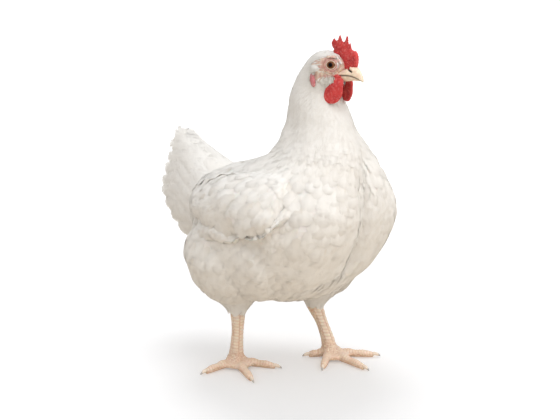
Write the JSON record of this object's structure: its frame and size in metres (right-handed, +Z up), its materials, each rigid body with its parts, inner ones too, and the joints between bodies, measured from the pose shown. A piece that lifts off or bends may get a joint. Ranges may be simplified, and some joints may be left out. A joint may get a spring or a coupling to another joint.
{
  "type": "chicken",
  "caption": "White meat-type hen standing in mid-stride, head up and wings folded, with an upright comb, wattles, a short fanned tail, scuted shanks and clawed toes.",
  "frame": {"origin": "on the floor, under the middle of the bounding box", "axes": "+Z up, she faces -Y, and +X is her left side"},
  "size_m": [0.2506, 0.3554, 0.4415],
  "materials": {
    "plumage": "soft matt white feathers, warm in the shade",
    "red_skin": "finely pimpled satin red skin",
    "leg_skin": "satin peach scales",
    "beak": "satin pale horn",
    "claw": "satin pale horn with greyish tips",
    "eye": "glossy brown eye"
  },
  "bodies": {
    "root": {"torso": "plumage", "neck": "plumage", "head": "plumage", "thigh_right": "plumage", "thigh_left": "plumage", "wing_right": "plumage", "wing_left": "plumage", "tail": "plumage", "comb": "red_skin", "wattle_right": "red_skin", "wattle_left": "red_skin", "earlobe_right": "red_skin", "earlobe_left": "red_skin", "shank_right": "leg_skin", "shank_left": "leg_skin", "foot_right": "leg_skin", "foot_left": "leg_skin", "beak_upper": "beak", "beak_lower": "beak", "claw_hallux_right": "claw", "claw_inner_right": "claw", "claw_middle_right": "claw", "claw_outer_right": "claw", "claw_hallux_left": "claw", "claw_inner_left": "claw", "claw_middle_left": "claw", "claw_outer_left": "claw", "eye_right": "eye", "eye_left": "eye"}
  },
  "joints": []
}
